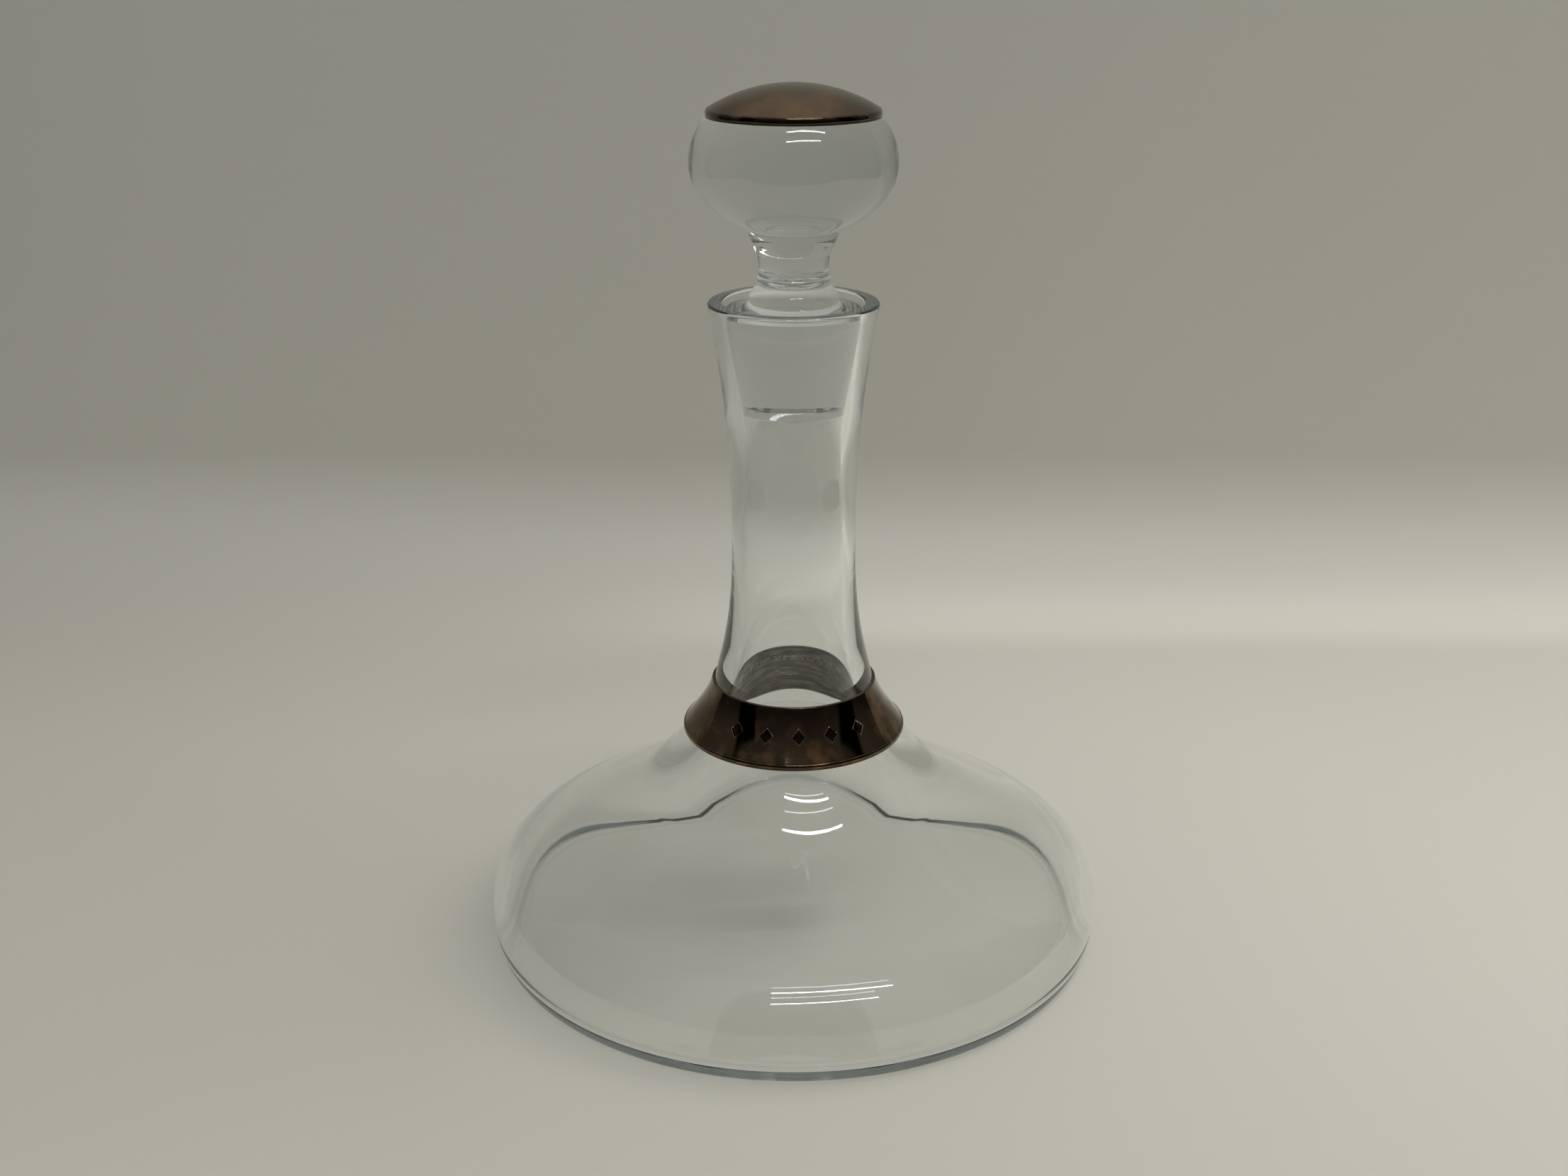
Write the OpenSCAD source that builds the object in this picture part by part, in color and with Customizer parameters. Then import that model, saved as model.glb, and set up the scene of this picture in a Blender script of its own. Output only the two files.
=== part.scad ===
// Ships decanter: blown glass body, silver collar, lift-out glass stopper with a silver cap.
// Millimetres, +Z up, origin at the middle of the foot, on the table.

/* [Bottle] */
// Radius of the belly at its widest
belly_radius = 97.5; // [88:0.5:105]
// Height of the widest line above the table
belly_height = 11.3; // [10:0.1:14]
// Radius of the brow, where the belly runs out into the shoulder
brow_radius = 83; // [80:0.1:86]
// Height of the brow
brow_height = 30.6; // [28:0.1:33]
// Slope of the glass at the brow, degrees
brow_slope = 26.3; // [23:0.1:30]
// Radius where the shoulder turns up into the neck
shoulder_radius = 49.3; // [46:0.1:53]
// Height of that turn
shoulder_height = 51.1; // [48:0.1:54]
// Slope of the shoulder at the turn, degrees
shoulder_slope = 38; // [35:0.1:42]
// Radius of the neck at its narrowest
waist_radius = 18.9; // [18:0.1:20]
// Height of the narrowest line
waist_height = 130; // [122:1:138]
// Radius of the mouth at the rim
mouth_radius = 25.3; // [24.4:0.1:26.5]
// Height of the mouth, at the top of the rim
mouth_height = 203.8; // [192:0.2:214]
// Rounding of the rim's edges
rim_round = 0.9; // [0.5:0.1:1.4]
// Lean of the neck at the mouth, degrees from upright
mouth_lean = 10.6; // [8:0.1:13]

/* [Foot] */
// Outer radius of the flat ring that stands on the table
foot_radius = 93.5; // [84:0.5:94.5]
// Width of that ring
foot_width = 5; // [3:0.5:9]
// Rise of the hollow underside at its middle
foot_kick = 2; // [1.5:0.1:3]

/* [Glass walls] */
// Thickness of the base
base_wall = 2.4; // [2:0.1:4]
// Thickness of the side at the belly
belly_wall = 3.4; // [2.6:0.1:4.5]
// Rounding inside, between base and side
corner_radius = 5.5; // [4.5:0.5:6.5]
// Thickness of the glass at the brow
brow_wall = 3.4; // [2.6:0.1:4.5]
// Thickness of the shoulder at the turn
shoulder_wall = 6.4; // [5:0.1:7.5]
// Slope of the hollow at the turn, degrees
hollow_slope = 30; // [27:0.1:36]
// Thickness of the neck at its narrowest
waist_wall = 3.9; // [3:0.1:5]
// Thickness of the neck at the mouth
mouth_wall = 4.4; // [3.8:0.1:5]

/* [Stopper] */
// Length of the ground plug
plug_length = 30.4; // [26:0.2:33]
// Drop of the plug's upper edge below the rim
plug_drop = 2; // [1.2:0.1:3.5]
// Half angle of the ground taper, degrees
plug_taper = 9.4; // [8:0.1:11]
// Rounding of the plug's edges
plug_round = 0.8; // [0.4:0.1:1.2]
// Play between plug and bore
plug_play = 0.1; // [0.08:0.01:0.2]
// Radius of the upright part of the skirt
skirt_radius = 13.2; // [12.4:0.1:14.5]
// Height of the upright part above the rim
skirt_height = 0.4; // [0:0.1:1.5]
// Radius of the bead above the skirt
bead_radius = 10.8; // [10.6:0.1:11.6]
// Height of the bead's middle above the rim
bead_height = 6.3; // [5.5:0.1:7]
// Height of the bead itself
bead_tall = 2.6; // [1.8:0.1:3]
// Stand of the bead from the neck
bead_stand = 0.4; // [0.3:0.05:0.6]
// Radius of the stopper's neck at its narrowest
stem_radius = 10.1; // [9.5:0.1:10.4]
// Height of the narrowest line above the rim
stem_height = 9.2; // [8.8:0.1:11]
// Radius of the ring below the head
knop_radius = 13; // [12:0.1:14.5]
// Height of that ring above the rim
knop_height = 19.1; // [17:0.1:20]
// Flare of the stopper's neck at the ring, degrees from upright
knop_flare = 27; // [20:1:34]
// Radius of the head at its widest
head_radius = 30.1; // [27.5:0.1:33]
// Height of the widest line above the rim
head_height = 40.1; // [39.5:0.1:44]
// Depth of the head's lower half, if it were a full ellipse
head_lower = 21.6; // [19.5:0.1:22]
// Height of the head's upper half, if it were a full ellipse
head_upper = 23; // [19.5:0.1:26]
// Height of the ground top above the widest line
head_top = 12.6; // [11:0.1:14.2]

/* [Silver] */
// Thickness of the collar and cap sheet
sheet = 0.45; // [0.35:0.05:0.8]
// Height of the collar's lower edge above the table
collar_low = 68.1; // [66:0.1:70]
// Height of the collar's turned-down edge
collar_edge = 2.1; // [1.6:0.1:2.8]
// Height of the whole collar
collar_tall = 16.7; // [14:0.1:20]
// Depth of the shallow seat in the glass behind the collar
collar_seat = 0.6; // [0.2:0.1:1]
// Bedding behind the collar's lip
lip_bed = 0.3; // [0.3:0.05:0.6]
// Bedding behind the collar's lower edge
low_bed = 0.3; // [0.3:0.05:1]
// Stand of the rounded wires from the sheet
wire_stand = 0.6; // [0.4:0.05:1]
// Radius of the cap's upright edge
cap_radius = 24.6; // [23:0.1:24.7]
// Height of the cap's upright edge
cap_edge = 2.3; // [1.8:0.1:3]
// Rise of the dome above its edge
cap_rise = 6.9; // [5.5:0.1:9]
// Size of the blank lozenge punches on the collar
punch_size = 2.2; // [1.2:0.1:2.4]
// Depth of the punches
punch_depth = 0.25; // [0.15:0.05:0.3]
// Turn between neighbouring punches, degrees
punch_step = 19.6; // [13:0.1:24]
// Turn of the middle punch from the front, degrees
punch_turn = 3; // [-10:1:10]

/* [Hidden] */
// Segments along a long curve, along a short one, and along the collar's edge
long_run = 12;
short_run = 6;
edge_run = 3;
$fn = 96;
// Lengths of the curve handles as shares of their chords
belly_pull = 0.421;
brow_pull = 0.367;
slope_pull = 0.33;
turn_pull = 0.12;
hollow_pull = 0.3;
root_pull = 0.395;
waist_pull = 0.327;
neck_pull = 0.429;
lean_pull = 0.321;
// Handle of a quarter turn as a share of its radius
quarter = 0.552;
punch_count = 5;
// Turn of the front, where the punches sit
front = -90;
// Halvings that find a height on the root curve
halvings = 30;
// Depth of the bore's taper below the plug
seat_spare = 1.5;
// Reach of the collar's seat up and down, and its drop below the lip
seat_reach = 11;
seat_drop = 3.6;

// Curve through four handles, and the run of points along it
function bez(p, t) = pow(1 - t, 3) * p[0] + 3 * pow(1 - t, 2) * t * p[1]
    + 3 * (1 - t) * t * t * p[2] + pow(t, 3) * p[3];
function run(p, a, b, n) = [for (i = [0 : n]) bez(p, a + (b - a) * i / n)];
function tail(list) = [for (i = [1 : len(list) - 1]) list[i]];
function turned(list) = [for (i = [len(list) - 1 : -1 : 0]) list[i]];
function arc(c, r, a, b, n) = [for (i = [0 : n]) let (s = a + (b - a) * i / n) c + r * [cos(s), sin(s)]];
function oval(c, rx, rz, a, b, n) =
    [for (i = [0 : n]) let (s = a + (b - a) * i / n) c + [rx * cos(s), rz * sin(s)]];

// Stations of the outside of the glass
belly = [belly_radius, belly_height];
brow = [brow_radius, brow_height];
turn = [shoulder_radius, shoulder_height];
waist = [waist_radius, waist_height];
mouth = [mouth_radius, mouth_height - rim_round];
function fall(slope) = [cos(slope), -sin(slope)];
function across(slope) = [-sin(slope), -cos(slope)];
lean = [sin(mouth_lean), cos(mouth_lean)];
up = [0, 1];

function belly_of(a, b) = let (l = norm(a - b))
    [a, a + belly_pull * l * up, b + brow_pull * l * fall(brow_slope), b];
function shoulder_of(a, b, slope, pull) = let (l = norm(a - b))
    [a, a - slope_pull * l * fall(brow_slope), b + pull * l * fall(slope), b];
function root_of(a, b, slope) = let (l = norm(a - b))
    [a, a - root_pull * l * fall(slope), b - waist_pull * l * up, b];
function rise(radius, low) =
    [for (i = [0 : short_run]) let (s = i / short_run) [radius * s, low + foot_kick * (1 - s * s)]];

foot_side = [[foot_radius, 0], [belly_radius - (belly_radius - foot_radius) * (1 - quarter), 0],
             [belly_radius, belly_height * (1 - quarter) * quarter], belly];
root = root_of(turn, waist, shoulder_slope);
neck_long = norm(mouth - waist);
neck = [waist, waist + neck_pull * neck_long * up, mouth - lean_pull * neck_long * lean, mouth];

// Stations of the inside of the glass
side_in = belly_radius - belly_wall;
belly_in = [side_in, base_wall + corner_radius];
brow_in = brow + brow_wall * across(brow_slope);
turn_in = turn + shoulder_wall * across(shoulder_slope);
waist_in = [waist_radius - waist_wall, waist_height];
bore_mouth = mouth_radius - mouth_wall;
seat_low = mouth_height - plug_drop - plug_length - seat_spare;
function bore_at(z) = bore_mouth - (mouth_height - z) * tan(plug_taper);
bore_low = [bore_at(seat_low), seat_low];
bore_high = [bore_at(mouth[1]), mouth[1]];
floor_in = side_in - corner_radius;
corner = [[floor_in, base_wall], [side_in - corner_radius * (1 - quarter), base_wall],
          [side_in, base_wall + corner_radius * (1 - quarter)], belly_in];
root_in = root_of(turn_in, waist_in, hollow_slope);
bore_long = norm(bore_low - waist_in);
bore_lean = [sin(plug_taper), cos(plug_taper)];
bore = [waist_in, waist_in + neck_pull * bore_long * up, bore_low - lean_pull * bore_long * bore_lean, bore_low];

// Root of the neck: a shallow seat behind the collar, and the runs that the collar shares
collar_turn = collar_low + collar_edge;
collar_lip = collar_low + collar_tall;
function place_at(z, a = 0, b = 1, n = halvings) = let (m = (a + b) / 2)
    n == 0 ? m : bez(root, m)[1] < z ? place_at(z, m, b, n - 1) : place_at(z, a, m, n - 1);
function seat_at(z) = collar_seat * pow(max(0, 1 - pow((z - collar_lip + seat_drop) / seat_reach, 2)), 2);
function root_run(low, high, n) =
    [for (p = run(root, place_at(low), place_at(high), n)) p - [seat_at(p[1]), 0]];
root_skirt = root_run(collar_low, collar_turn, edge_run);
root_collar = root_run(collar_turn, collar_lip, short_run);

module decanter_body() {
  outside = concat(
    rise(foot_radius - foot_width, 0),
    run(foot_side, 0, 1, short_run),
    tail(run(belly_of(belly, brow), 0, 1, short_run)),
    tail(run(shoulder_of(brow, turn, shoulder_slope, turn_pull), 0, 1, long_run)),
    tail(root_run(shoulder_height, collar_low, short_run)),
    tail(root_skirt),
    tail(root_collar),
    tail(root_run(collar_lip, waist_height, long_run)),
    tail(run(neck, 0, 1, long_run)));
  rim = concat(
    arc(mouth - [rim_round, 0], rim_round, 0, 90, short_run),
    arc(bore_high + [rim_round, 0], rim_round, 90, 180, short_run));
  inside = concat(
    rise(floor_in, base_wall),
    tail(run(corner, 0, 1, short_run)),
    tail(run(belly_of(belly_in, brow_in), 0, 1, short_run)),
    tail(run(shoulder_of(brow_in, turn_in, hollow_slope, hollow_pull), 0, 1, long_run)),
    tail(run(root_in, 0, 1, long_run)),
    tail(run(bore, 0, 1, short_run)));
  color([0.85, 0.9, 0.92, 0.35])
    rotate_extrude()
      polygon(concat(outside, tail(rim), turned(inside)));
}

// Collar: bedding gap grows from the lip down to the turned-down edge
skirt_in = root_skirt[0][0] + low_bed;
turn_bed = skirt_in - root_collar[0][0];
function bed(i) = lip_bed + (turn_bed - lip_bed) * pow(1 - i / short_run, 2);
function flare(extra) = [for (i = [0 : short_run]) root_collar[i] + [bed(i) + extra, 0]];

module neck_collar() {
  outer = flare(sheet);
  middle = outer[short_run / 2];
  along = outer[short_run / 2 + 1] - outer[short_run / 2 - 1];
  tilt = atan2(-along[0], along[1]);
  color([0.42, 0.36, 0.3])
    difference() {
      rotate_extrude()
        polygon(concat([[skirt_in, collar_low]], flare(0), turned(outer), [[skirt_in + sheet, collar_low]]));
      for (i = [0 : punch_count - 1])
        rotate([0, 0, front + punch_turn + (i - (punch_count - 1) / 2) * punch_step])
          translate([middle[0], 0, middle[1]])
            rotate([0, 90 - tilt, 0])
              translate([0, 0, -punch_depth])
                linear_extrude(height = punch_size)
                  polygon([[-punch_size, 0], [0, -punch_size], [punch_size, 0], [0, punch_size]]);
    }
}

// Half-round wire soldered to an upright edge
module wire(radius, low, high) {
  tall = high - low;
  rotate_extrude()
    polygon(oval([radius, (low + high) / 2], wire_stand, tall / 2, -90, 90, long_run));
}

module collar_rim_wire() {
  color([0.42, 0.36, 0.3])
    wire(skirt_in + sheet, collar_low, collar_turn);
}

module collar_cement() {
  glass_side = concat(tail(root_skirt), tail(root_collar));
  color([0.55, 0.52, 0.42])
    rotate_extrude()
      polygon(concat(glass_side, turned(flare(0)), [[skirt_in, root_skirt[1][1]]]));
}

// Stopper: the plug shares the bore's taper and keeps its play
plug_high = mouth_height - plug_drop;
plug_low = plug_high - plug_length;
head_mid = mouth_height + head_height;
head_flat = head_mid + head_top;
function plug_at(z) = bore_at(z) - plug_play / cos(plug_taper);

module stopper_glass() {
  bead_mid = mouth_height + bead_height;
  bead_in = bead_radius - bead_stand;
  bead_top = [bead_in, bead_mid + bead_tall / 2];
  bead_foot = [bead_in, bead_mid - bead_tall / 2];
  plug_edge = [plug_at(plug_high) - plug_round, plug_high];
  skirt = [skirt_radius, mouth_height + skirt_height];
  flange = [plug_edge, [skirt[0] + (plug_edge[0] - skirt[0]) * (1 - quarter), plug_high],
            skirt - (skirt[1] - plug_high) * quarter * up, skirt];
  climb = bead_foot - skirt;
  slope = [skirt, skirt + climb[1] * (1 - quarter) * up,
           bead_foot - [climb[0] * quarter, climb[1] * pow(1 - quarter, 2)], bead_foot];
  stem = [stem_radius, mouth_height + stem_height];
  knop = [knop_radius, mouth_height + knop_height];
  third = (knop[1] - stem[1]) / 3;
  low_stem = [bead_top, bead_top + (stem - bead_top) / 3, stem - (stem[1] - bead_top[1]) / 3 * up, stem];
  high_stem = [stem, stem + third * up, knop - third * [tan(knop_flare), 1], knop];
  head_start = -acos(knop_radius / head_radius);
  head_end = asin(head_top / head_upper);
  color([0.85, 0.9, 0.92, 0.35])
    rotate_extrude()
      polygon(concat(
        [[0, plug_low], [plug_at(plug_low) - plug_round, plug_low]],
        [[plug_at(plug_low + plug_round), plug_low + plug_round]],
        [[plug_at(plug_high - plug_round), plug_high - plug_round]],
        run(flange, 0, 1, long_run),
        tail(run(slope, 0, 1, short_run)),
        tail(oval([bead_in, bead_mid], bead_stand, bead_tall / 2, -90, 90, short_run)),
        tail(run(low_stem, 0, 1, short_run)),
        tail(run(high_stem, 0, 1, short_run)),
        oval([0, head_mid], head_radius, head_lower, head_start, 0, long_run),
        tail(oval([0, head_mid], head_radius, head_upper, 0, head_end, short_run)),
        [[0, head_flat]]));
}

// Cap: upright edge on the ground top, then a dome
function dome(a, h, z, n) = let (r = (a * a + h * h) / (2 * h), s = asin(a / r))
  [for (i = [0 : n]) [r * sin(s * (1 - i / n)), z + h - r + r * cos(s * (1 - i / n))]];

cap_in = cap_radius - sheet;
edge_top = head_flat + cap_edge;

module stopper_cap() {
  color([0.42, 0.36, 0.3])
    rotate_extrude()
      polygon(concat([[cap_in, head_flat], [cap_radius, head_flat]],
        dome(cap_radius, cap_rise, edge_top, long_run),
        turned(dome(cap_in, cap_rise - sheet, edge_top, long_run))));
}

module cap_rim_wire() {
  color([0.42, 0.36, 0.3])
    wire(cap_radius, head_flat, edge_top);
}

module cap_cement() {
  color([0.72, 0.7, 0.64])
    rotate_extrude()
      polygon(concat([[0, head_flat], [cap_in, head_flat]], dome(cap_in, cap_rise - sheet, edge_top, long_run)));
}

decanter_body();
neck_collar();
collar_rim_wire();
collar_cement();
stopper_glass();
stopper_cap();
cap_rim_wire();
cap_cement();
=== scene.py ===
"""Ships decanter: blown glass, tarnished silver collar and cap, on a pale sweep."""
import math
import bmesh
import bpy
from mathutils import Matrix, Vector


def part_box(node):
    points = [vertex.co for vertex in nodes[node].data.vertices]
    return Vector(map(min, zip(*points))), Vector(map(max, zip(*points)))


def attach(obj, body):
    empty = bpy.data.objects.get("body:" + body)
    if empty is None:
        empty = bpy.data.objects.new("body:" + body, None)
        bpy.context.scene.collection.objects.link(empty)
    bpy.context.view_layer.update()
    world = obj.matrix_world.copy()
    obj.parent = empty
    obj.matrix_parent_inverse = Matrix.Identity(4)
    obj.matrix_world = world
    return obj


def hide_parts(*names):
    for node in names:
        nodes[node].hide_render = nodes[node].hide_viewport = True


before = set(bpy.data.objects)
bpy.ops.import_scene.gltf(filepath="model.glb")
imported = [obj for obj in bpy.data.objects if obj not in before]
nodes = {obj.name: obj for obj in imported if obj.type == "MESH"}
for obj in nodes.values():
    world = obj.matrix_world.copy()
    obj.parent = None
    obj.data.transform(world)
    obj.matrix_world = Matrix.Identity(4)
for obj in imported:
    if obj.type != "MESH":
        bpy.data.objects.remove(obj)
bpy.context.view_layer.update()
scene = bpy.context.scene
MM = 0.001

# Camera, fitted to the outline of the photographed decanter; pixels, metres and degrees

PHOTO_WIDE, FOCAL, AXIS_RIGHT = 2212, 2650, 13.6
EYE_PLACE, EYE_DOWN = (0, -0.544, 0.3175), 20.5

eye = bpy.data.cameras.new("eye")
eye.sensor_fit = "HORIZONTAL"
eye.sensor_width = 36
eye.lens = FOCAL / PHOTO_WIDE * eye.sensor_width
eye.shift_x = -AXIS_RIGHT / PHOTO_WIDE
camera = bpy.data.objects.new("camera", eye)
camera.location = EYE_PLACE
camera.rotation_euler = (math.radians(90 - EYE_DOWN), 0, 0)
scene.collection.objects.link(camera)
scene.camera = camera


# Turned pieces: the half section of a CAD node, faired through its points, then spun

TOUCHING = 1e-6
STRAIGHT, CORNER = math.radians(0.3), math.radians(22)
LONG_RUN = 2.5
EDGE_RUN, EDGE_SHARE = 0.12 * MM, 0.2


def section(node):
    """Ordered points of a turned node's half section, and whether they close on themselves."""
    bm = bmesh.new()
    bm.from_mesh(nodes[node].data)
    bmesh.ops.remove_doubles(bm, verts=bm.verts, dist=TOUCHING)
    whole = bm.verts[:] + bm.edges[:] + bm.faces[:]
    bmesh.ops.bisect_plane(bm, geom=whole, dist=TOUCHING, plane_co=(0, 0, 0),
                           plane_no=(0, 1, 0), clear_inner=True, clear_outer=True)
    far_half = [v for v in bm.verts if v.co.x < -TOUCHING]
    bmesh.ops.delete(bm, geom=far_half, context="VERTS")
    for end in [v for v in bm.verts if len(v.link_edges) == 1 and v.co.x > TOUCHING]:
        bm.edges.new((end, bm.verts.new((0, 0, end.co.z))))
    bmesh.ops.dissolve_limit(bm, angle_limit=STRAIGHT, verts=bm.verts, edges=bm.edges)
    bm.verts.ensure_lookup_table()
    ends = [v for v in bm.verts if len(v.link_edges) == 1]
    walk = ends[:1] or [bm.verts[0]]
    seen = set(walk)
    while True:
        near = [edge.other_vert(walk[-1]) for edge in walk[-1].link_edges]
        ahead = [v for v in near if v not in seen]
        if not ahead:
            break
        walk.append(ahead[0])
        seen.add(ahead[0])
    points = [v.co.copy() for v in walk]
    bm.free()
    return points, not ends


def faired(points, closed, longest):
    """Short runs through the points: straight by corners and along long runs, curved elsewhere."""
    count = len(points)

    def point(i):
        if closed or 0 <= i < count:
            return points[i % count]
        inner = points[1] if i < 0 else points[-2]
        return Vector((-inner.x, 0, inner.z))

    def sides(i):
        return point(i) - point(i - 1), point(i + 1) - point(i)

    def sharp(i):
        back, ahead = sides(i)
        return back.angle(ahead) > CORNER

    def tangent(i, chord):
        back, ahead = sides(i)
        if chord.length > LONG_RUN * min(back.length, ahead.length) or sharp(i):
            return chord
        way = back.normalized() * ahead.length + ahead.normalized() * back.length
        return way.normalized() * chord.length

    out = []
    for i in range(count if closed else count - 1):
        start, end = point(i), point(i + 1)
        chord = end - start
        pieces = math.ceil(chord.length / longest)
        shares = [k / pieces for k in range(pieces)]
        edge = EDGE_RUN / chord.length
        if edge < EDGE_SHARE:
            shares += [edge] * sharp(i) + [1 - edge] * sharp(i + 1)
        leave, arrive = tangent(i, chord), tangent(i + 1, chord)
        for t in sorted(shares):
            out.append(start * (2 * t**3 - 3 * t**2 + 1) + leave * (t**3 - 2 * t**2 + t)
                       + end * (3 * t**2 - 2 * t**3) + arrive * (t**3 - t**2))
    return out if closed else out + [points[-1]]


def spun(node, body, finish, longest=2 * MM, steps=256, shrink=1.0, sink=0.0, worked=None):
    """A finer turned mesh in a node's place; worked shapes it further once it is spun."""
    points, closed = section(node)
    bm = bmesh.new()
    rail = [bm.verts.new((p.x * shrink, 0, p.z - sink)) for p in faired(points, closed, longest)]
    for pair in zip(rail, rail[1:] + rail[:1] * closed):
        bm.edges.new(pair)
    bmesh.ops.spin(bm, geom=bm.verts[:] + bm.edges[:], cent=(0, 0, 0), axis=(0, 0, 1),
                   angle=math.tau, steps=steps, use_merge=True)
    bmesh.ops.remove_doubles(bm, verts=bm.verts, dist=TOUCHING)
    bmesh.ops.recalc_face_normals(bm, faces=bm.faces)
    for face in bm.faces:
        face.smooth = True
    if worked:
        worked(bm)
    mesh = bpy.data.meshes.new(node + "_turned")
    bm.to_mesh(mesh)
    bm.free()
    piece = bpy.data.objects.new(node + "_turned", mesh)
    scene.collection.objects.link(piece)
    mesh.materials.append(finish)
    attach(piece, body)
    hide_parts(node)


# Blank lozenge punches struck into the collar's front; half widths, and how far apart they stand

PUNCHES = range(-2, 3)
PUNCH_STEP, PUNCH_AIM, PUNCH_HIGH = math.radians(19.6), math.radians(3), 76.8 * MM
PUNCH_WIDE, PUNCH_TALL = 2.3 * MM, 2.5 * MM
PUNCH_DEEP, FRILL_HIGH = 0.25 * MM, 0.08 * MM
FRILL_SHARE, FLOOR_SHARE = 0.9, 0.78
AROUND = 1.5


def struck(bm):
    """Cut each lozenge into the outer wall, raise a thin frill round it and sink its floor."""
    cuts = [(1.0, 0.0), (FRILL_SHARE, FRILL_HIGH), (FLOOR_SHARE, -PUNCH_DEEP)]
    steps = cuts + [(0.0, -PUNCH_DEEP)]

    def centre(face):
        return face.calc_center_median()

    band = [f for f in bm.faces if abs(centre(f).z - PUNCH_HIGH) < AROUND * PUNCH_TALL]
    for place in PUNCHES:
        turn = PUNCH_AIM + place * PUNCH_STEP
        out = Vector((math.sin(turn), -math.cos(turn), 0))
        side = Vector((math.cos(turn), math.sin(turn), 0))
        target = Vector((0, 0, PUNCH_HIGH))
        front = [f for f in band if f.normal.dot(out) > 0.5 and centre(f).dot(out) > 0]
        patch = [f for f in front if abs(centre(f).dot(side)) < AROUND * PUNCH_WIDE]
        level = min(patch, key=lambda f: (centre(f) - target).cross(out).length)
        middle = out * centre(level).dot(out) + Vector((0, 0, centre(level).z))
        rise = level.normal.cross(side).normalized()
        axes = side / PUNCH_WIDE, rise / PUNCH_TALL
        for share, lift in cuts:
            for one, two in ((1, 1), (1, -1), (-1, 1), (-1, -1)):
                whole = {part for f in patch for part in (f, *f.edges, *f.verts)}
                cut = bmesh.ops.bisect_plane(bm, geom=list(whole), dist=1e-7,
                                             plane_co=middle + side * PUNCH_WIDE * share * one,
                                             plane_no=axes[0] * one + axes[1] * two)
                patch = [part for part in cut["geom"] if isinstance(part, bmesh.types.BMFace)]
        reach = {v: sum(abs((v.co - middle).dot(axis)) for axis in axes)
                 for f in patch for v in f.verts}
        for vert, share in reach.items():
            for (far, high), (near, low) in zip(steps, steps[1:]):
                if near <= share <= far:
                    lift = low + (high - low) * (share - near) / (far - near)
                    vert.co += level.normal * lift
                    break
        for edge in {e for f in patch for e in f.edges}:
            ends = [reach[v] for v in edge.verts]
            edge.smooth = not any(max(abs(end - share) for end in ends) < 1e-3
                                  for share, lift in cuts)


# Finishes

class Link:
    """A socket as a number, so that sums on it add Math nodes."""

    def __init__(self, finish, socket):
        self.finish, self.socket = finish, socket

    def math(self, operation, *terms):
        sockets = dict(enumerate(terms))
        return self.finish.node("Math", {"operation": operation}, sockets)["Value"]

    def __add__(self, other):
        return self.math("ADD", self, other)

    def __sub__(self, other):
        return self.math("SUBTRACT", self, other)

    def __rsub__(self, other):
        return self.math("SUBTRACT", other, self)

    def __mul__(self, other):
        return self.math("MULTIPLY", self, other)

    def __truediv__(self, other):
        return self.math("DIVIDE", self, other)

    def __abs__(self):
        return self.math("ABSOLUTE", self)

    def step(self, low, high):
        return self.finish.node("MapRange", {"interpolation_type": "SMOOTHSTEP"},
                                {"Value": self, "From Min": low, "From Max": high})["Result"]

    __radd__, __rmul__ = __add__, __mul__


class Made:
    """A node just made; its outputs by name."""

    def __init__(self, finish, node):
        self.finish, self.raw = finish, node

    def __getitem__(self, name):
        return Link(self.finish, self.raw.outputs[name])


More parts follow.
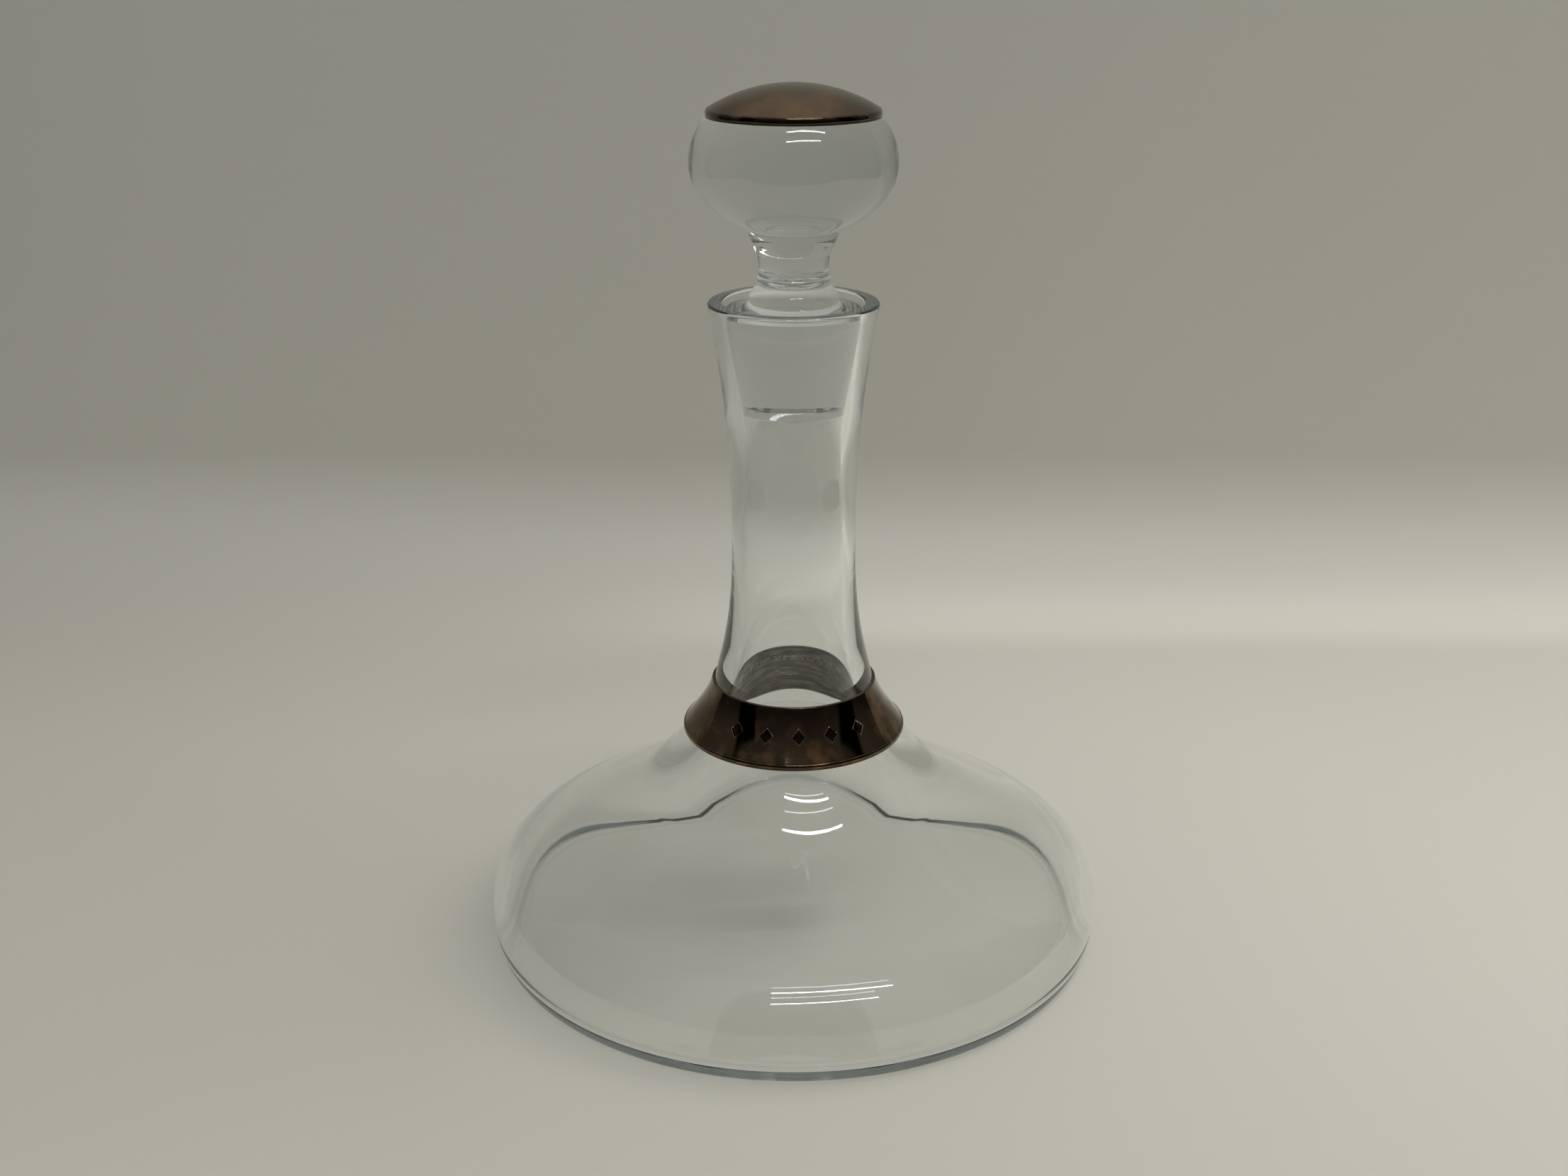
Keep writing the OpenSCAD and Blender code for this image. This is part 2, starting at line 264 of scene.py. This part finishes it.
class Finish:
    """A material's or the room's node tree, one method for any node."""

    def __init__(self, name, kind="materials"):
        self.material = getattr(bpy.data, kind).new(name)
        self.material.use_nodes = True
        self.tree = self.material.node_tree
        self.skin = self.tree.nodes["Principled BSDF" if kind == "materials" else "Background"]
        self.place = self.node("TexCoord")["Object" if kind == "materials" else "Generated"]

    def node(self, kind, settings=None, sockets=None):
        made = self.tree.nodes.new("ShaderNode" + kind)
        for key, value in (settings or {}).items():
            if key == "stops":
                self.stops(made.color_ramp, value)
            else:
                setattr(made, key, value)
        self.feed(made, sockets or {})
        return Made(self, made)

    def stops(self, ramp, wanted):
        while len(ramp.elements) < len(wanted):
            ramp.elements.new(1)
        for element, (place, colour) in zip(ramp.elements, wanted):
            element.position, element.color = place, colour

    def feed(self, node, sockets):
        for key, value in sockets.items():
            if isinstance(value, Link):
                self.tree.links.new(value.socket, node.inputs[key])
            else:
                node.inputs[key].default_value = value

    def blend(self, factor, one, two):
        mix = self.node("Mix", {"data_type": "RGBA"})
        self.feed(mix.raw, {0: factor, 6: one, 7: two})
        return Link(self, mix.raw.outputs[2])

    def axes(self):
        split = self.node("SeparateXYZ", None, {0: self.place})
        return split["X"], split["Y"], split["Z"]

    def noise(self, scale, detail, vector=None):
        sockets = {"Vector": vector or self.place, "Scale": scale, "Detail": detail}
        return self.node("TexNoise", None, sockets)["Fac"]

    def stretched(self, x, y, z):
        return self.node("CombineXYZ", None, {0: x, 1: y, 2: z})["Vector"]

    def round_about(self):
        x, y, z = self.axes()
        angle = x.math("ARCTAN2", x, y * -1.0)
        radius = x.math("SQRT", x * x + y * y)
        return angle, radius, z

    def bump(self, height, distance):
        return self.node("Bump", None, {"Height": height, "Distance": distance})["Normal"]

    def set(self, **sockets):
        self.feed(self.skin, {key.replace("_", " "): value for key, value in sockets.items()})
        return self.material

    def let_through(self, factor, colour):
        """The skin, and a clear gap in its place by the factor."""
        gap = self.node("BsdfTransparent", None, {"Color": colour})["BSDF"]
        skin = Link(self, self.skin.outputs[0])
        mix = self.node("MixShader", None, {0: factor, 1: skin, 2: gap})["Shader"]
        self.feed(self.tree.nodes["Material Output"], {"Surface": mix})


CLEAN, FILMED = (0.99, 0.992, 0.992, 1), (0.98, 0.984, 0.985, 1)
GLASS_PASSES = (0.982, 0.981, 0.977, 1)
GLASS_TINT, TINT_DENSITY = (0.485, 0.59, 0.633, 1), 5.6


def clear_glass():
    """Tinted through its thickness; light passes straight to the floor, less at its edges."""
    f = Finish("clear_glass")
    film = f.noise(60, 4).step(0.45, 0.75)
    f.set(Base_Color=f.blend(film, CLEAN, FILMED), Roughness=film * 0.002)
    f.set(IOR=1.52, Transmission_Weight=1.0)
    path = f.node("LightPath")
    slant = f.node("LayerWeight", None, {"Blend": 0.5})["Facing"]
    edge_shade = slant.math("POWER", slant, 4.0) * 0.6
    lit = (path["Is Shadow Ray"] + path["Is Diffuse Ray"]) * (1.0 - edge_shade)
    f.let_through(lit, GLASS_PASSES)
    tint = f.node("VolumeAbsorption", None, {"Color": GLASS_TINT, "Density": TINT_DENSITY})
    f.feed(f.tree.nodes["Material Output"], {"Volume": tint["Volume"]})
    return f.material


DEEP, WORN = (0.082, 0.058, 0.036, 1), (0.132, 0.094, 0.059, 1)
CAP_DEEP, CAP_WORN = (0.16, 0.113, 0.073, 1), (0.25, 0.179, 0.117, 1)
# The darkest colour is grime in the punch floors, and grime with painted shade under the wires'
# crease.
GRIME_AND_SHADE, COPPERY = (0.03, 0.023, 0.017, 1), (0.25, 0.155, 0.085, 1)
PAINTED_FLANK_SHADE, BARE_EDGE = (0.064, 0.045, 0.029, 1), (0.42, 0.35, 0.27, 1)
TURNING_PITCH = 2600.0
CREASE_SOFT = 0.4 * MM


def tarnished_silver(name, deep, worn, satin, punched=False, crease=None, shaded_flanks=None):
    """Clouded and blotched; crease is the height under which grime and painted shade sit,
    shaded_flanks a span of x painted in shade.
    """
    f = Finish(name)
    angle, radius, z = f.round_about()
    cloud = f.noise(38, 4).step(0.3, 0.7)
    rings = f.stretched(0.0, z * TURNING_PITCH, radius * TURNING_PITCH)
    turning = f.noise(1.0, 2, rings)
    blotch = f.noise(170, 6).step(0.47, 0.64)
    colour = f.blend(blotch * 0.7, f.blend(cloud, deep, worn), COPPERY)
    # Painted shade: the cap darkens towards its left and right sides.
    if shaded_flanks:
        across = abs(f.axes()[0])
        colour = f.blend(across.step(*shaded_flanks) * 0.75, colour, PAINTED_FLANK_SHADE)
    # Below the crease the wire darkens: grime at the joint with the glass, and painted shade on
    # the wire's underside.
    if crease:
        below = 1.0 - z.step(crease - CREASE_SOFT, crease + CREASE_SOFT)
        colour = f.blend(below * 0.85, colour, GRIME_AND_SHADE)
    if punched:
        turn = (angle - PUNCH_AIM) / PUNCH_STEP
        across = abs(turn - turn.math("ROUND", turn)) * PUNCH_STEP * radius / PUNCH_WIDE
        reach = across + abs(z - PUNCH_HIGH) / (PUNCH_TALL * 0.86)
        row = 1.0 - abs(turn).step(2.4, 2.5)
        grime = row * (1.0 - reach.step(FLOOR_SHARE, 0.86))
        frill = row * (1.0 - abs(reach - 0.92).step(0.03, 0.1))
        colour = f.blend(frill * 0.8, f.blend(grime, colour, GRIME_AND_SHADE), BARE_EDGE)
    return f.set(Base_Color=colour, Metallic=1.0, Roughness=satin + cloud * 0.04 + turning * 0.02,
                 Normal=f.bump(turning * 0.01, 0.2 * MM))


BEDDING_STOPS = [(0.32, (0.05, 0.04, 0.025, 1)), (0.5, (0.125, 0.108, 0.072, 1)),
                 (0.64, (0.29, 0.262, 0.193, 1))]
CRUMB, SOOT = (0.42, 0.4, 0.34, 1), (0.05, 0.045, 0.035, 1)
CRUMB_HIGH, RINGS_HIGH, RINGS_HALF = 80.5 * MM, 72.2 * MM, 0.5 * MM
LIP_LOW, LIP_HIGH = 84.1 * MM, 84.5 * MM


def streaked_bedding():
    f = Finish("streaked_bedding")
    x, y, z = f.axes()
    streak = f.noise(1.0, 4, f.stretched(x * 100.0, y * 100.0, z * 900.0))
    crust = f.noise(220, 5)
    crumb_band = 1.0 - abs(z - CRUMB_HIGH).step(0.6 * MM, 1.6 * MM)
    crumb = f.noise(700, 4).step(0.42, 0.6) * crumb_band
    ring = 1.0 - abs(abs(z - RINGS_HIGH) - RINGS_HALF).step(0.1 * MM, 0.3 * MM)
    lip = z.step(LIP_LOW, LIP_HIGH)
    ramp = f.node("ValToRGB", {"stops": BEDDING_STOPS}, {0: streak * 0.7 + crust * 0.3})
    colour = f.blend(crumb * 0.6, ramp["Color"], CRUMB)
    colour = f.blend(ring * 0.7 + lip * 0.9, colour, SOOT)
    return f.set(Base_Color=colour, Roughness=0.7 + crust * 0.2, Normal=f.bump(crust, 0.3 * MM))


PLASTER_DULL, PLASTER_PALE = (0.42, 0.41, 0.37, 1), (0.58, 0.56, 0.51, 1)


def plaster():
    f = Finish("cap_plaster")
    grain = f.noise(260, 5)
    return f.set(Base_Color=f.blend(grain, PLASTER_DULL, PLASTER_PALE), Roughness=0.85,
                 Normal=f.bump(grain, 0.2 * MM))


# Pieces, each in the place of its CAD node

glass, bedding = clear_glass(), streaked_bedding()
collar_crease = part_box("collar_rim_wire")[0][2] + 0.6 * MM
cap_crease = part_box("cap_rim_wire")[0][2] + 0.8 * MM
struck_silver = tarnished_silver("struck_silver", DEEP, WORN, 0.035, punched=True)
collar_wire_silver = tarnished_silver("collar_wire_silver", DEEP, WORN, 0.06, crease=collar_crease)
cap_wire_silver = tarnished_silver("cap_wire_silver", DEEP, WORN, 0.06, crease=cap_crease)
# The cap's sides get painted shade over this span of x.
cap_silver = tarnished_silver("cap_silver", CAP_DEEP, CAP_WORN, 0.2, shaded_flanks=(7 * MM, 23 * MM))

spun("decanter_body", "decanter", glass, longest=3.5 * MM, steps=320)
spun("neck_collar", "decanter", struck_silver, longest=1 * MM, worked=struck)
spun("collar_rim_wire", "decanter", collar_wire_silver)
spun("collar_cement", "decanter", bedding, shrink=0.996)
spun("stopper_glass", "stopper", glass)
spun("stopper_cap", "stopper", cap_silver)
spun("cap_rim_wire", "stopper", cap_wire_silver)
spun("cap_cement", "stopper", plaster(), shrink=0.998, sink=0.1 * MM)


# Stage: pale sweep, soft light overhead, thin ceiling strips for the highlights

# Besides the paper's mottle, these tones are painted shade at the front left, a painted highlight
# along the bend and painted light up the wall's left.
PAPER, PAPER_PALE = (0.6, 0.59, 0.53, 1), (0.64, 0.63, 0.57, 1)
PAPER_SHADED, PAPER_BEND_HIGHLIGHT = (0.535, 0.526, 0.473, 1), (0.72, 0.71, 0.642, 1)
PAPER_LIT_LEFT = (0.69, 0.68, 0.614, 1)
CREST_AT = 0.262


def pale_sweep():
    """Paper with painted shade at the front left, a painted highlight along the bend and painted
    light up its left; open from behind.
    """
    f = Finish("pale_sweep")
    mottle = f.noise(3, 2)
    x, y, z = f.axes()
    # Painted shade: the floor darkens towards the front left.
    front_left_shade = (y * -0.8 - x).step(-0.35, 0.2) * (1.0 - z.step(0.0, 0.04))
    # Painted highlight: a paler strip along the bend, mostly to the right.
    bend_highlight = (1.0 - abs(y - CREST_AT).step(0.005, 0.04)) * x.step(-0.15, 0.1)
    # Painted light: the sweep is paler up its left side above the floor.
    left_wall_light = z.step(0.02, 0.06) * (1.0 - x.step(-0.35, 0.1))
    paper = f.blend(mottle, PAPER, PAPER_PALE)
    paper = f.blend(front_left_shade, paper, PAPER_SHADED)
    paper = f.blend(bend_highlight, paper, PAPER_BEND_HIGHLIGHT)
    f.set(Base_Color=f.blend(left_wall_light, paper, PAPER_LIT_LEFT), Roughness=0.5)
    f.let_through(f.node("NewGeometry")["Backfacing"], (1, 1, 1, 1))
    return f.material


def sweep(front, bend, radius, top, wide, drop):
    """A floor that bends up into a wall, from its profile drawn out sideways."""
    bm = bmesh.new()
    start = bm.verts.new((-wide, front, -drop))
    low = bm.verts.new((-wide, bend, -drop))
    bm.edges.new((start, low))
    curve = bmesh.ops.spin(bm, geom=[low], cent=(-wide, bend, radius - drop), axis=(1, 0, 0),
                           angle=math.pi / 2, steps=24)
    last = curve["geom_last"][0]
    bm.edges.new((last, bm.verts.new((-wide, bend + radius, top))))
    drawn = bmesh.ops.extrude_edge_only(bm, edges=bm.edges[:])
    far_side = [part for part in drawn["geom"] if isinstance(part, bmesh.types.BMVert)]
    bmesh.ops.translate(bm, vec=(2 * wide, 0, 0), verts=far_side)
    bmesh.ops.recalc_face_normals(bm, faces=bm.faces)
    if min(bm.faces, key=lambda face: face.calc_center_median().y).normal.z < 0:
        bmesh.ops.reverse_faces(bm, faces=bm.faces)
    for face in bm.faces:
        face.smooth = True
    mesh = bpy.data.meshes.new("sweep")
    bm.to_mesh(mesh)
    bm.free()
    mesh.materials.append(pale_sweep())
    stage = bpy.data.objects.new("sweep", mesh)
    scene.collection.objects.link(stage)


sweep(front=-0.5, bend=0.25, radius=0.065, top=0.6, wide=0.8, drop=0.2 * MM)


def lamp(name, place, aim, long, wide, watts, mirrored=True, colour=(1, 1, 1)):
    light = bpy.data.lights.new(name, "AREA")
    light.shape = "RECTANGLE"
    light.size, light.size_y, light.energy, light.color = long, wide, watts, colour
    holder = bpy.data.objects.new(name, light)
    holder.location = place
    holder.rotation_euler = aim
    holder.visible_glossy = holder.visible_transmission = mirrored
    scene.collection.objects.link(holder)


lamp("soft_ceiling", place=(1.0, 0.1, 1.5), aim=(0, 0.588, 0), long=1.2, wide=1.1, watts=18,
     mirrored=False, colour=(1, 0.985, 0.94))
lamp("strip_near", place=(0.36, -0.7, 2.0), aim=(0.34, 0, math.radians(9)), long=1.15, wide=0.045,
     watts=5.5)
lamp("strip_far", place=(0.36, -1.35, 2.0), aim=(0.6, 0, math.radians(11)), long=1.3, wide=0.045,
     watts=7.5)

# Room: bearings are in radians from the front, and heights are shares of straight up

LEFT_POST, RIGHT_POST, POST = -1.1, 1.28, (0.006, 0.006, 0.007, 1)
WALL_LOW, WALL_HIGH = (0.06, 0.065, 0.07, 1), (0.42, 0.415, 0.4, 1)
UNLIT, CEILING = (0.03, 0.031, 0.032, 1), (0.9, 0.885, 0.84, 1)
BACKDROP, CARD = (0.5, 0.49, 0.45, 1), (0.1, 0.1, 0.102, 1)


def room():
    """What the silver mirrors, and a plain backdrop with a dark card each side to look at."""
    f = Finish("room", "worlds")
    x, y, z = f.axes()
    bearing = x.math("ARCTAN2", x, y * -1.0)
    left, right = (1.0 - abs(bearing - post).step(0.17, 0.25) for post in (LEFT_POST, RIGHT_POST))
    posts = (left + right) * (1.0 - z.step(0.6, 0.7))
    unlit = (y * -1.0).step(0.1, 0.7) * (1.0 - z.step(0.55, 0.85))
    walls = f.blend(z.step(-0.1, 0.8), WALL_LOW, WALL_HIGH)
    walls = f.blend(unlit * 0.6, walls, UNLIT)
    walls = f.blend((z + y * 0.3).step(0.7, 0.95), walls, CEILING)
    mirrored = f.blend(posts, walls, POST)
    cards = abs(bearing).step(1.05, 1.15) * (1.0 - abs(bearing).step(1.85, 1.95))
    backdrop = f.blend(cards, BACKDROP, CARD)
    path = f.node("LightPath")
    seen = path["Is Camera Ray"] + path["Is Transmission Ray"]
    f.set(Color=f.blend(seen, mirrored, backdrop), Strength=0.52)
    scene.world = f.material


room()
scene.view_settings.view_transform = "Standard"
scene.cycles.caustics_reflective = scene.cycles.caustics_refractive = False
scene.cycles.max_bounces = 40
scene.cycles.glossy_bounces = scene.cycles.transmission_bounces = 40
scene.cycles.transparent_max_bounces = 24
